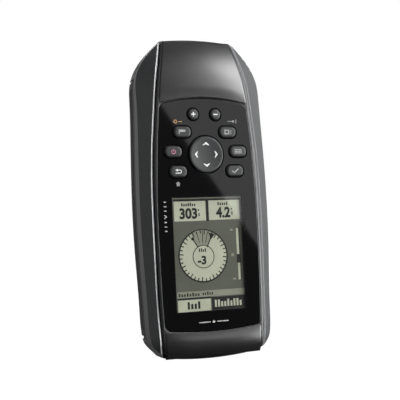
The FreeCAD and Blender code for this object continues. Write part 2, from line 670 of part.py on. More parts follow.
def usb_socket():
    half_h = USB_H / 2
    body = wide_box(USB_W / 2, (PORT_BOARD_Y[1], USB_MOUTH_Y), (USB_Z - half_h, USB_Z + half_h))
    body = body.makeChamfer(0.7, [e for e in edges_along(body, Y_AXIS) if e.BoundBox.ZMax < USB_Z])
    mouth_z = (USB_Z - half_h + 0.7, USB_Z + half_h - 0.35)
    mouth = wide_box(USB_W / 2 - 0.35, (USB_MOUTH_Y - 6.5, USB_MOUTH_Y + 1), mouth_z)
    tongue = wide_box(2.2, (USB_MOUTH_Y - 7, USB_MOUTH_Y - 0.8), (USB_Z - 0.35, USB_Z + 0.35))
    return body.cut(mouth).fuse(tongue).removeSplitter()


# ---- batteries ----------------------------------------------------------------------------------------------------
def cell(x, z_low, up):
    """One AA cell from its lowest point. Its positive nub points up or down."""
    start = z_low if up else z_low + CELL_NUB
    body = cyl_z(x, CELL_Y, CELL_R, start, start + CELL_LEN)
    rims = [e for e in body.Edges if e.Curve.TypeId == "Part::GeomCircle"]
    body = body.makeFillet(0.6, rims)
    nub = start + CELL_LEN - 0.1 if up else z_low
    return body.fuse(cyl_z(x, CELL_Y, CELL_NUB_R, nub, nub + CELL_NUB + 0.1)).removeSplitter()


LEFT_CELL_Z = BAY_Z[1] - PLATE - CELL_LEN - CELL_NUB
RIGHT_CELL_Z = BAY_Z[0] + PLATE


def battery_left():
    return cell(-CELL_X, LEFT_CELL_Z, True)


def battery_right():
    return cell(CELL_X, RIGHT_CELL_Z, False)


def coil(x, z_low, length):
    """A coil spring of round wire in short straight bends, standing on z_low."""
    rise = length - 2 * SPRING_WIRE - 0.4
    bends = SPRING_TURNS * SPRING_BENDS
    path = []
    for k in range(bends + 1):
        turn = 2 * math.pi * k / SPRING_BENDS
        path.append(V(SPRING_R * math.cos(turn), SPRING_R * math.sin(turn), rise * k / bends))
    ring = Part.Wire([Part.makeCircle(SPRING_WIRE, path[0], path[1] - path[0])])
    wire = Part.makePolygon(path).makePipeShell([ring], True, False, 1)
    return wire.translated(V(x, CELL_Y, z_low + SPRING_WIRE + 0.2))


def battery_springs():
    low = BAY_Z[0] + PLATE
    high = RIGHT_CELL_Z + CELL_LEN + CELL_NUB
    return Part.makeCompound([
        coil(-CELL_X, low, LEFT_CELL_Z - low),
        coil(CELL_X, high, BAY_Z[1] - PLATE - high),
    ])


def battery_contacts():
    """A plate across both cells at the bottom and a plate for each cell at the top."""
    y = (CELL_Y - 5, CELL_Y + 5)
    return Part.makeCompound([
        wide_box(CELL_X + 5, y, (BAY_Z[0], BAY_Z[0] + PLATE)),
        box((CELL_X - 5, CELL_X + 5), y, (BAY_Z[1] - PLATE, BAY_Z[1])),
        box((-CELL_X - 5, -CELL_X + 5), y, (BAY_Z[1] - PLATE, BAY_Z[1])),
    ])


# ---- battery door and latch ---------------------------------------------------------------------------------------
def gasket_ring(extra):
    """The seal round the battery bay, with extra room on both sides."""
    y = (DOOR_INSIDE - GASKET_DEEP, DOOR_INSIDE)
    out, into = GASKET_X + extra, GASKET_X - GASKET_WIDE - extra
    outer = rounded_box((-out, out), y, (GASKET_Z[0] - extra, GASKET_Z[1] + extra), 2.2 + extra)
    z = (GASKET_Z[0] + GASKET_WIDE + extra, GASKET_Z[1] - GASKET_WIDE - extra)
    return outer.cut(rounded_box((-into, into), y, z, 1.2 - extra))


def door_gasket():
    return gasket_ring(0)


def hook_room(x0, x1):
    """Room in the rear shell for a hook tab and the bead at its end."""
    x = (x0 - BEAD_GAP, x1 + BEAD_GAP)
    y = (HINGE_Y - BEAD_R - BEAD_GAP, HINGE_Y + BEAD_R + BEAD_GAP)
    channel = box(x, y, (DOOR_Z[1] - TAB_FOOT - 0.6, HINGE_Z))
    return channel.fuse(cyl_x(HINGE_Y, HINGE_Z, BEAD_R + BEAD_GAP, *x)).removeSplitter()


def battery_door():
    plate = rounded_box((-DOOR_X, DOOR_X), (DOOR_INSIDE, BACK), DOOR_Z, DOOR_CORNER_R)
    plate = plate.makeFillet(DOOR_EDGE_R, edges_at_y(plate, BACK))
    boss = cyl_y(0, LATCH_Z, BOSS_R, BOSS_END, DOOR_INSIDE + 0.2)
    tabs = []
    for x0, x1 in TABS:
        tabs.append(box((x0, x1), (TAB_Y[0], DOOR_INSIDE + 0.1), (DOOR_Z[1] - TAB_FOOT, DOOR_Z[1] - 0.1)))
        tabs.append(box((x0, x1), TAB_Y, (DOOR_Z[1] - TAB_FOOT, HINGE_Z - BEAD_R / 2)))
        tabs.append(cyl_x(HINGE_Y, HINGE_Z, BEAD_R, x0, x1))
    door = fuse([plate, boss] + tabs)
    pocket = cyl_y(0, LATCH_Z, POCKET_R, POCKET_FLOOR, BACK + 1)
    hole = cyl_y(0, LATCH_Z, SHAFT_R + SHAFT_CLEARANCE, BOSS_END - 1, BACK)
    return cut_each(door, [pocket, hole])


def latch_knob():
    """The knob and its shaft, cross-drilled for the straight side of the ring."""
    head = cyl_y(0, LATCH_Z, KNOB_R, *KNOB_Y)
    knob = head.fuse(cyl_y(0, LATCH_Z, SHAFT_R, SHAFT_END, KNOB_Y[0] + 0.1))
    return knob.cut(cyl_x(RING_Y, LATCH_Z, RING_WIRE_R + 0.08, -9, 9)).removeSplitter()


def latch_clip():
    """Retaining clip in the shaft's groove, under the door."""
    ring = cyl_y(0, LATCH_Z, CLIP_R, *CLIP_Y).cut(cyl_y(0, LATCH_Z, SHAFT_R, *CLIP_Y))
    return ring.cut(box((-1.2, 1.2), CLIP_Y, (LATCH_Z, LATCH_Z + CLIP_R + 1)))


def latch_tongue():
    arm = wide_box(TONGUE_HALF, TONGUE_Y, (LATCH_Z - TONGUE_LEN, LATCH_Z))
    hub = cyl_y(0, LATCH_Z, SHAFT_R + 1.2, *TONGUE_Y)
    return arm.fuse(hub).removeSplitter().cut(cyl_y(0, LATCH_Z, SHAFT_R, *TONGUE_Y))


def d_ring():
    bar = cyl_x(RING_Y, LATCH_Z, RING_WIRE_R, -RING_R, RING_R)
    bow = Part.makeTorus(RING_R, RING_WIRE_R, V(0, RING_Y, LATCH_Z), Y_AXIS)
    bow = bow.common(wide_box(9, (RING_Y - 2, RING_Y + 2), (LATCH_Z - 9, LATCH_Z)))
    ends = [Part.makeSphere(RING_WIRE_R, V(x, RING_Y, LATCH_Z)) for x in (-RING_R, RING_R)]
    return fuse([bar, bow] + ends)


# ---- weather flap, lanyard bar and screws -------------------------------------------------------------------------
def flap_room():
    z = (FLAP_Z[0] - FLAP_GAP, FLAP_Z[1])
    x = FLAP_X + FLAP_GAP
    room = rounded_box((-x, x), (FLAP_Y[0] - 0.1, BACK + 1), (z[0], z[1] + FLAP_CORNER_R), FLAP_CORNER_R)
    room = room.cut(wide_box(x + 1, (0, BACK + 2), (z[1], z[1] + 9)))
    return room.fuse(cyl_x(FLAP_HINGE_Y, FLAP_Z[1], FLAP_HINGE_R + FLAP_GAP, -x, x)).removeSplitter()


def port_flap():
    """A rubber cover that bends at its top edge, with a plug that fills the recess round the socket."""
    plate = rounded_box((-FLAP_X, FLAP_X), FLAP_Y, (FLAP_Z[0], FLAP_Z[1] + FLAP_CORNER_R), FLAP_CORNER_R)
    plate = plate.cut(wide_box(FLAP_X + 1, (0, BACK + 2), (FLAP_Z[1], FLAP_Z[1] + 9)))
    bead = cyl_x(FLAP_HINGE_Y, FLAP_Z[1], FLAP_HINGE_R, -FLAP_X, FLAP_X)
    side = 0.2
    z = (USB_Z - USB_ROOM_Z + 0.55, USB_Z + USB_ROOM_Z - side)
    plug = wide_box(USB_ROOM_X - side, (PLUG_END, FLAP_Y[0] + 0.1), z)
    hollow = wide_box(USB_ROOM_X - side - 1, (PLUG_END - 1, FLAP_Y[0]), (z[0] + 1, z[1] - 1))
    return fuse([plate, bead, plug.cut(hollow)])


def lanyard_bar():
    return cyl_x(BAR_Y, BAR_Z, BAR_R, -LANYARD_X - BAR_REACH, LANYARD_X + BAR_REACH)


def screw(x, z, r, head_r, head_h, head_y, tip_y, sides=6):
    """A screw driven from the back: its head starts at head_y and has a hexagon socket."""
    body = cyl_y(x, z, head_r, head_y, head_y + head_h).fuse(cyl_y(x, z, r, tip_y, head_y + 0.05))
    socket_r = head_r * 0.5
    ring = [V(x + socket_r * math.cos(2 * math.pi * k / sides), head_y + head_h + 0.1,
              z + socket_r * math.sin(2 * math.pi * k / sides)) for k in range(sides + 1)]
    socket = Part.Face(Part.makePolygon(ring)).extrude(V(0, -head_h * 0.6 - 0.1, 0))
    return body.removeSplitter().cut(socket)


def case_screws():
    size = (SCREW_R - 0.02, SCREW_HEAD_R, SCREW_HEAD_H, SCREW_HEAD_Y, SCREW_TIP_Y)
    return Part.makeCompound([screw(x, z, *size) for x, z in CASE_SCREWS])


def board_screws():
    size = (BOARD_SCREW_R - 0.02, BOARD_HEAD_R, BOARD_HEAD_H, BOARD_Y[1], BOARD_Y[0] - 2)
    return Part.makeCompound([screw(x, z, *size) for x, z in BOARD_SCREWS])


# ---- write every sub-part -----------------------------------------------------------------------------------------
GRIP = right_grip()
PARTS = {
    "front_shell": front_shell(),
    "rear_shell": rear_shell(),
    "right_grip": GRIP,
    "left_grip": mirror_x(GRIP),
    "shell_gasket": shell_gasket(),
    "front_bezel": front_bezel(),
    "lens_window": lens_window(),
    "lens_mask": lens_mask(),
    "rocker_pad": rocker_pad(),
    "rocker_pivot": rocker_pivot(),
    "keypad_mat": keypad_mat(),
    "dome_switches": dome_switches(),
    "lcd_panel": lcd_panel(),
    "backlight_panel": backlight_panel(),
    "lcd_tray": lcd_tray(),
    "lcd_flex": lcd_flex(),
    "main_board": main_board(),
    "board_chips": board_chips(),
    "shield_can": shield_can(),
    "coin_cell": coin_cell(),
    "beeper": beeper(),
    "antenna_plate": antenna_plate(),
    "antenna_patch": antenna_patch(),
    "port_board": port_board(),
    "port_header": port_header(),
    "usb_socket": usb_socket(),
    "battery_left": battery_left(),
    "battery_right": battery_right(),
    "battery_springs": battery_springs(),
    "battery_contacts": battery_contacts(),
    "battery_door": battery_door(),
    "door_gasket": door_gasket(),
    "latch_knob": latch_knob(),
    "latch_clip": latch_clip(),
    "latch_tongue": latch_tongue(),
    "d_ring": d_ring(),
    "port_flap": port_flap(),
    "lanyard_bar": lanyard_bar(),
    "case_screws": case_screws(),
    "board_screws": board_screws(),
}
for key_name in (*ROUND_KEYS, *OVAL_KEYS):
    PARTS[key_name] = key(key_name)

os.makedirs("parts", exist_ok=True)
for part_name, part_shape in PARTS.items():
    save(part_name, part_shape)
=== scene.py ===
import json
import math

import bmesh
import bpy
from mathutils import Euler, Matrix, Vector
from mathutils.bvhtree import BVHTree


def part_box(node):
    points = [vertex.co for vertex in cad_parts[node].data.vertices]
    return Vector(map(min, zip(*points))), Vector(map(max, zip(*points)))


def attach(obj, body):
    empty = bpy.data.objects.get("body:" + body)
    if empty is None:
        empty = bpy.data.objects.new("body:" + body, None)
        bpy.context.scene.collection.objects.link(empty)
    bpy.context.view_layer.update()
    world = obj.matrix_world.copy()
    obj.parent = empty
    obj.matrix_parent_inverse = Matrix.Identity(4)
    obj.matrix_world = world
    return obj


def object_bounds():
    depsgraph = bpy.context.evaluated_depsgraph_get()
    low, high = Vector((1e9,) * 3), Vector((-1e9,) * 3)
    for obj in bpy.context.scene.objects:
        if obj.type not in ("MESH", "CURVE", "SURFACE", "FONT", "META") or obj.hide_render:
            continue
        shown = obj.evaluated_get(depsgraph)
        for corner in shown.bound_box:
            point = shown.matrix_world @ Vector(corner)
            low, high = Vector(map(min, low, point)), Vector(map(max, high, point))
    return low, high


# Handheld GPS navigator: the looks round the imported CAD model. Metres; outlines are written in millimetres.

MM = 0.001
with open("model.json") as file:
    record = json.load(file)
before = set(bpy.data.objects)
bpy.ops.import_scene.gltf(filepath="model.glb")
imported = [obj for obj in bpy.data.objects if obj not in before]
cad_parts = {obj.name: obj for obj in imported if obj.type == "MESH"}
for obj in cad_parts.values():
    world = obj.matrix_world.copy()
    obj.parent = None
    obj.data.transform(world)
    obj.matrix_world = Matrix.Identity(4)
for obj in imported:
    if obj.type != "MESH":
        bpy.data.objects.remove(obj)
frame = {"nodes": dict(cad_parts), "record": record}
CAD_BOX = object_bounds()
NODES = frame["nodes"]
SLOT_OF = {part["node"]: part["material_slot"] for part in frame["record"]["subparts"]}
BODY_OF = {node: body for body, members in frame["record"]["behaviour"]["bodies"].items() for node in members}

LENS_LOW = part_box("lens_window")[0]
PANEL_LOW, PANEL_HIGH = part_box("lcd_panel")
SCREEN = (PANEL_LOW + PANEL_HIGH) / 2
LAYER = 0.035 * MM                      # each layer of the picture stands this far in front of the last
PRINT = 0.02 * MM                       # thickness of printed marks
PRINT_ROOT = 5 * PRINT                  # how far a print on a curved face reaches into it


# ---- materials ----------------------------------------------------------------------------------------------------
WINDOW = (18.6, 27.4)                   # half-width and half-height of the clear part of the lens, in mm
CLEAR = 0.96                            # share of the light that the clear part lets through
LIP_HIGHLIGHT_FACING, LIP_HIGHLIGHT_SPREAD = 0.34, 0.06     # sideways part of the normals of the lips that get a painted highlight, and how far off it may be
SLEEVE_BAND = 34.0                      # height of the dark band on a battery cell, in mm
RUN_PITCH, RUN_EDGE = 2.5, 0.12         # spacing of a board's copper runs in mm, and their width as a share
MASK_SHRINK = 0.02 * MM                 # the mask's face and the lens's back share one plane in the CAD model


def linear(red, green, blue):
    """Scene-linear colour from one given as 0-255 display values."""
    def one(value):
        share = value / 255
        return share / 12.92 if share < 0.04045 else ((share + 0.055) / 1.055) ** 2.4
    return (one(red), one(green), one(blue), 1.0)


def scaled(colour, factor):
    return (*(min(1.0, c * factor) for c in colour[:3]), 1.0)


def math_of(tree, operation, *inputs):
    """The output of a math node. Each input is a number or another node's output."""
    node = tree.nodes.new("ShaderNodeMath")
    node.operation = operation
    for socket, value in zip(node.inputs, inputs):
        if isinstance(value, bpy.types.NodeSocket):
            tree.links.new(value, socket)
        else:
            socket.default_value = value
    return node.outputs["Value"]


def axis_of(tree, source, axis):
    """The X, Y or Z of a vector output."""
    split = tree.nodes.new("ShaderNodeSeparateXYZ")
    tree.links.new(source, split.inputs["Vector"])
    return split.outputs[axis]


def map_range(tree, source, given, wanted):
    """The output of a node that turns the span given into the span wanted."""
    node = tree.nodes.new("ShaderNodeMapRange")
    tree.links.new(source, node.inputs["Value"])
    for name, value in zip(("From Min", "From Max", "To Min", "To Max"), (*given, *wanted)):
        node.inputs[name].default_value = value
    return node.outputs["Result"]


def noise_on(tree, place, size, detail):
    """A noise texture on object coordinates, with features of about size mm."""
    node = tree.nodes.new("ShaderNodeTexNoise")
    node.inputs["Scale"].default_value = 1 / (size * MM)
    node.inputs["Detail"].default_value = detail
    tree.links.new(place.outputs["Object"], node.inputs["Vector"])
    return node


def surface(name, colour, roughness, metallic=0.0, grain=0.35, relief=0.006, mottle=0.10, blotch=9.0, glow=0.0,
            edge=0.0, sheen=None):
    """A moulded, cast or printed surface: broad and fine mottling of the colour, uneven gloss and a fine relief.
    grain, relief, blotch and edge, the radius that sharp edges seem worn to, are in millimetres. An edge needs a
    relief. sheen is the strength of the reflection at normal incidence. glow is the strength of a painted glow in
    the surface's own colour."""
    material = bpy.data.materials.new(name)
    material.use_nodes = True
    tree = material.node_tree
    nodes, links = tree.nodes, tree.links
    shader = nodes["Principled BSDF"]
    place = nodes.new("ShaderNodeTexCoord")
    fine = noise_on(tree, place, grain, detail=3)
    broad = noise_on(tree, place, blotch, detail=4)
    ramp = nodes.new("ShaderNodeValToRGB")
    place.name, fine.name, ramp.name = "place", "fine", "ramp"
    ramp.color_ramp.elements[0].position = 0.45
    ramp.color_ramp.elements[0].color = scaled(colour, 1 - mottle)
    ramp.color_ramp.elements[1].color = scaled(colour, 1 + mottle)
    both = math_of(tree, "MULTIPLY_ADD", fine.outputs["Fac"], 0.5, broad.outputs["Fac"])
    gloss = map_range(tree, broad.outputs["Fac"], (0.0, 1.0), (roughness * 0.88, min(1.0, roughness * 1.14)))
    links.new(both, ramp.inputs["Fac"])
    links.new(ramp.outputs["Color"], shader.inputs["Base Color"])
    links.new(gloss, shader.inputs["Roughness"])
    shader.inputs["Metallic"].default_value = metallic
    if relief:
        bump = nodes.new("ShaderNodeBump")
        bump.inputs["Strength"].default_value = 0.6
        bump.inputs["Distance"].default_value = relief * MM
        links.new(fine.outputs["Fac"], bump.inputs["Height"])
        links.new(bump.outputs["Normal"], shader.inputs["Normal"])
    if sheen is not None:
        shader.inputs["Specular IOR Level"].default_value = sheen
    if edge:
        worn = nodes.new("ShaderNodeBevel")
        worn.samples = 6
        worn.inputs["Radius"].default_value = edge * MM
        links.new(worn.outputs["Normal"], bump.inputs["Normal"])
    # painted glow: the surface's own colour given off as light, which brightens the display and its pale cells
    if glow:
        links.new(ramp.outputs["Color"], shader.inputs["Emission Color"])
        shader.inputs["Emission Strength"].default_value = glow
    return material


def recolour(material, where, colour):
    """Gives a material made by surface another colour where the output where is 1."""
    tree = material.node_tree
    blend = tree.nodes.new("ShaderNodeMix")
    blend.data_type = "RGBA"
    blend.inputs["B"].default_value = colour
    tree.links.new(where, blend.inputs["Factor"])
    tree.links.new(tree.nodes["ramp"].outputs["Color"], blend.inputs["A"])
    tree.links.new(blend.outputs["Result"], tree.nodes["Principled BSDF"].inputs["Base Color"])
    return material


def lens_glass():
    """Clear hard-coated acrylic over the display, and gloss over black ink elsewhere."""
    material = surface("lens_glass", linear(5, 5, 6), 0.035, grain=30.0, relief=0.0, mottle=0.01)
    tree = material.node_tree
    nodes, links = tree.nodes, tree.links
    shader = nodes["Principled BSDF"]
    shader.inputs["IOR"].default_value = 1.49
    where = nodes["place"].outputs["Object"]
    in_width = math_of(tree, "COMPARE", axis_of(tree, where, "X"), SCREEN.x, WINDOW[0] * MM)
    in_height = math_of(tree, "COMPARE", axis_of(tree, where, "Z"), SCREEN.z, WINDOW[1] * MM)
    through = nodes.new("ShaderNodeBsdfTransparent")
    through.inputs["Color"].default_value = (CLEAR, CLEAR, CLEAR, 1.0)
    clear = nodes.new("ShaderNodeAddShader")
    pick = nodes.new("ShaderNodeMixShader")
    links.new(shader.outputs["BSDF"], clear.inputs[0])
    links.new(through.outputs["BSDF"], clear.inputs[1])
    links.new(math_of(tree, "MULTIPLY", in_width, in_height), pick.inputs["Fac"])
    links.new(shader.outputs["BSDF"], pick.inputs[1])
    links.new(clear.outputs["Shader"], pick.inputs[2])
    links.new(pick.outputs["Shader"], nodes["Material Output"].inputs["Surface"])
    return material


def shell_with_painted_lip_highlight():
    """Shell plastic with a painted highlight, a pale colour on its narrow lips beside the bezel, which are found by
    how they face. It stands in for the light that their rounded edges catch.
    """
    material = surface("shell_front", **SHELL_LOOK)
    tree = material.node_tree
    facing = tree.nodes.new("ShaderNodeNewGeometry").outputs["True Normal"]
    sideways = math_of(tree, "ABSOLUTE", axis_of(tree, facing, "X"))
    lip_highlight = math_of(tree, "COMPARE", sideways, LIP_HIGHLIGHT_FACING, LIP_HIGHLIGHT_SPREAD)
    # the pale grey is a painted highlight on the lips
    return recolour(material, lip_highlight, linear(132, 133, 135))


def circuit_board(name, colour):
    """Green solder mask with paler copper runs under it."""
    material = surface(name, colour, 0.35, grain=0.5, relief=0.004)
    tree = material.node_tree
    runs = tree.nodes.new("ShaderNodeTexVoronoi")
    runs.distance = "MANHATTAN"
    runs.feature = "DISTANCE_TO_EDGE"
    runs.inputs["Scale"].default_value = 1 / (RUN_PITCH * MM)
    tree.links.new(tree.nodes["place"].outputs["Object"], runs.inputs["Vector"])
    copper = math_of(tree, "LESS_THAN", runs.outputs["Distance"], RUN_EDGE)
    return recolour(material, copper, scaled(colour, 2.2))


def cell_sleeve():
    """The printed sleeve of a battery cell: a dark band under a pale one."""
    material = surface("cell_sleeve", linear(176, 158, 96), 0.3, grain=0.6, relief=0.003)
    tree = material.node_tree
    height = axis_of(tree, tree.nodes["place"].outputs["Object"], "Z")
    band_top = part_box("battery_left")[0].z + SLEEVE_BAND * MM
    return recolour(material, math_of(tree, "LESS_THAN", height, band_top), linear(38, 40, 44))


def brushed(name, colour, roughness):
    """Metal with fine scratches along X."""
    material = surface(name, colour, roughness, metallic=1.0, grain=0.2, relief=0.004, mottle=0.06)
    nodes, links = material.node_tree.nodes, material.node_tree.links
    stretch = nodes.new("ShaderNodeMapping")
    stretch.inputs["Scale"].default_value = (0.05, 1, 1)
    links.new(nodes["place"].outputs["Object"], stretch.inputs["Vector"])
    links.new(stretch.outputs["Vector"], nodes["fine"].inputs["Vector"])
    return material


SHELL_LOOK = {"colour": linear(50, 51, 52), "roughness": 0.34, "grain": 0.30, "relief": 0.006, "edge": 0.35}
INK_LOOK = {"roughness": 0.5, "grain": 0.2, "relief": 0.001}
DARK_CELL_LOOK = {"roughness": 0.5, "grain": 0.33, "relief": 0.001, "sheen": 0.08}
# the display's pale cells get a faint painted glow
LIT_CELL_LOOK = {**DARK_CELL_LOOK, "mottle": 0.08, "glow": 0.1}

FINISH = {
    "shell_plastic": surface("shell_plastic", **SHELL_LOOK),
    "grip_rubber": surface("grip_rubber", linear(48, 49, 50), 0.55, grain=0.25, relief=0.012, mottle=0.14,
                           edge=0.2),
    "black_rubber": surface("black_rubber", linear(24, 24, 24), 0.55, grain=0.25, relief=0.010),
    "bezel_plastic": surface("bezel_plastic", linear(25, 25, 26), 0.29, grain=0.6, relief=0.0006, mottle=0.05,
                             edge=0.25),
    "lens_glass": lens_glass(),
    "mask_ink": surface("mask_ink", linear(9, 9, 10), 0.8, grain=30.0, relief=0.0, sheen=0.05),
    "key_rubber": surface("key_rubber", linear(34, 35, 36), 0.42, grain=0.30, relief=0.006, mottle=0.12,
                          sheen=0.22),
    "steel": brushed("steel", linear(196, 196, 198), 0.30),
    "latch_steel": brushed("latch_steel", linear(170, 170, 173), 0.33),
    "screw_steel": brushed("screw_steel", linear(92, 92, 95), 0.36),
    "silicone": surface("silicone", linear(140, 140, 142), 0.6),
    # the display's ground gets a faint painted glow
    "display": surface("display", linear(66, 68, 59), 0.5, grain=0.33, relief=0.002, mottle=0.08, glow=0.1,
                       sheen=0.08),
    "diffuser": surface("diffuser", linear(225, 225, 220), 0.5),
    "tray_plastic": surface("tray_plastic", linear(150, 150, 152), 0.5),
    "flex_film": surface("flex_film", linear(176, 118, 44), 0.3),
    "board": circuit_board("board", linear(24, 92, 50)),
    "chip": surface("chip", linear(34, 34, 36), 0.45, grain=0.2, relief=0.006),
    "ceramic_patch": surface("ceramic_patch", linear(222, 210, 184), 0.4, grain=0.3, relief=0.005),
    "cell_wrap": cell_sleeve(),
    "door_plastic": surface("door_plastic", linear(49, 50, 51), 0.46, grain=0.30, relief=0.012),
}
LEGEND = surface("legend_ink", linear(190, 190, 188), **INK_LOOK)
KEY_LEGEND = surface("key_legend_ink", linear(136, 136, 134), **INK_LOOK)
MARK_INK = surface("mark_ink", linear(96, 96, 95), **INK_LOOK)
POWER_INK = surface("power_ink", linear(150, 84, 106), **INK_LOOK)
ORANGE_INK = surface("orange_ink", linear(128, 92, 40), **INK_LOOK)
CELL_LIGHT = surface("segment_light", linear(141, 144, 127), **LIT_CELL_LOOK)
CELL_DARK = surface("segment_dark", linear(14, 14, 11), **DARK_CELL_LOOK)
CELL_SHADE = surface("segment_shade", linear(30, 31, 24), **DARK_CELL_LOOK)
CELL_GREY = surface("segment_grey", linear(104, 106, 93), **LIT_CELL_LOOK)


def finish_nodes():
    """Every CAD node takes the finish of its material slot."""
    for name, node in NODES.items():
        node.data.materials.clear()
        node.data.materials.append(shell_with_painted_lip_highlight() if name == "front_shell" else FINISH[SLOT_OF[name]])


def part_mask_from_lens():
    """Draws the mask's faces in by a hair, so that they no longer share a plane with the lens."""
    settle = NODES["lens_mask"].modifiers.new("settle", "DISPLACE")
    settle.strength = -MASK_SHRINK
    settle.mid_level = 0.0


# ---- mesh helpers -------------------------------------------------------------------------------------------------
FIGURE_WEIGHT = 0.04                    # how much bolder the figures are than their typeface
SAME_POINT = 1e-8                       # points nearer than this many metres are one
BLOCK_SHARE, LOW_BLOCK = 0.62, 0.72     # width of a word's blocks in their pitch, and height of its low ones


def new_piece(name, mesh_builder, material, body, slot):
    """An object from a bmesh, riding on a CAD body. Faces are turned outward."""
    bmesh.ops.recalc_face_normals(mesh_builder, faces=mesh_builder.faces)
    mesh = bpy.data.meshes.new(name)
    mesh_builder.to_mesh(mesh)
    mesh_builder.free()
    piece = bpy.data.objects.new(name, mesh)
    bpy.context.scene.collection.objects.link(piece)
    mesh.materials.append(material)
    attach(piece, body)
    return piece


def box_outline(x0, x1, z0, z1):
    return [(x0, z0), (x1, z0), (x1, z1), (x0, z1)]


def circle(cx, cz, r, count=48, start=0.0, end=360.0):
    """Points of a circle, or of an arc whose ends are given in degrees clockwise from straight up."""
    closed = abs(end - start - 360) < 1e-6
    steps = count if closed else count + 1
    points = []
    for k in range(steps):
        angle = math.radians(start + (end - start) * k / count)
        points.append((cx + r * math.sin(angle), cz + r * math.cos(angle)))
    return points


def arc_band(cx, cz, r, wide, start, end, count=24):
    """The outline of a curved stroke."""
    outer, inner = (circle(cx, cz, r + half, count, start, end) for half in (wide / 2, -wide / 2))
    return outer + inner[::-1]


def stroke(x0, z0, x1, z1, wide):
    """The outline of a straight stroke with square ends."""
    run = Vector((x1 - x0, z1 - z0)).normalized()
    side = Vector((-run.y, run.x)) * wide / 2
    return [
        (x0 + side.x, z0 + side.y), (x0 - side.x, z0 - side.y),
        (x1 - side.x, z1 - side.y), (x1 + side.x, z1 + side.y),
    ]


def prism(builder, outline, front, back, centre):
    """A closed plate in the XZ plane. outline is in mm about centre; front and back are depths in metres, or
    functions that give one."""
    def corner(point, depth):
        x, z = centre[0] + point[0] * MM, centre[1] + point[1] * MM
        return builder.verts.new((x, depth(x, z) if callable(depth) else depth, z))
    near = [corner(p, front) for p in outline]
    far = [corner(p, back) for p in outline]
    builder.faces.new(near)
    builder.faces.new(far[::-1])
    for k in range(len(outline)):
        following = (k + 1) % len(outline)
        builder.faces.new((near[k], far[k], far[following], near[following]))


def ring_prism(builder, outer, inner, front, back, centre):
    """A closed plate with one hole. Both outlines have the same number of points."""
    def corner(point, depth):
        return builder.verts.new((centre[0] + point[0] * MM, depth, centre[1] + point[1] * MM))
    loops = [[corner(p, d) for p in line] for line, d in
             ((outer, front), (outer, back), (inner, back), (inner, front))]
    for a, b in zip(loops, loops[1:] + loops[:1]):
        for k in range(len(outer)):
            following = (k + 1) % len(outer)
            builder.faces.new((a[k], b[k], b[following], a[following]))


def plates(name, outlines, front, thick, material, body, centre, slot, rings=()):
    """One piece made of thin plates. front is the depth of their faces in metres."""
    builder = bmesh.new()
    for outline in outlines:
        prism(builder, outline, front, front + thick, centre)
    for outer, inner in rings:
        ring_prism(builder, outer, inner, front, front + thick, centre)
    return new_piece(name, builder, material, body, slot)


def numeral(name, text, x, z, front, thick, material, body, centre, slot):
    """Upright figures that fill the box x by z, in mm about centre."""
    curve = bpy.data.curves.new(name, "FONT")
    curve.body = text
    curve.extrude = 0.01
    curve.offset = FIGURE_WEIGHT
    curve.resolution_u = 4
    holder = bpy.data.objects.new(name + "_curve", curve)
    bpy.context.scene.collection.objects.link(holder)
    bpy.context.view_layer.update()
    mesh = bpy.data.meshes.new_from_object(holder)
    bpy.data.objects.remove(holder)
    points = [v.co.copy() for v in mesh.vertices]
    low = Vector(map(min, *points))
    high = Vector(map(max, *points))
    for vertex in mesh.vertices:
        share = [(vertex.co[i] - low[i]) / (high[i] - low[i]) for i in range(3)]
        vertex.co = (
            centre[0] + (x[0] + share[0] * (x[1] - x[0])) * MM,
            front + (1 - share[2]) * thick,
            centre[1] + (z[0] + share[1] * (z[1] - z[0])) * MM,
        )
    builder = bmesh.new()
    builder.from_mesh(mesh)
    bmesh.ops.remove_doubles(builder, verts=builder.verts, dist=SAME_POINT)
    bpy.data.meshes.remove(mesh)
    return new_piece(name, builder, material, body, slot)


def word_marks(x0, x1, z0, z1, count, pattern):
    """Short upright blocks in a row that stand for a word without spelling one."""
    pitch = (x1 - x0) / count
    blocks = []
    for k in range(count):
        tall = (z1 - z0) * (1.0 if pattern[k % len(pattern)] else LOW_BLOCK)
        left = x0 + k * pitch
        blocks.append(box_outline(left, left + pitch * BLOCK_SHARE, z0, z0 + tall))
    return blocks


# ---- the picture on the display -----------------------------------------------------------------------------------
TICKS, TICK_WIDE = 36, 0.55             # ticks round the gauge, and their width in mm
TICK_INNER, LONG_TICK_INNER, TICK_OUTER = 10.7, 10.1, 12.1      # radii of their ends; every third is longer


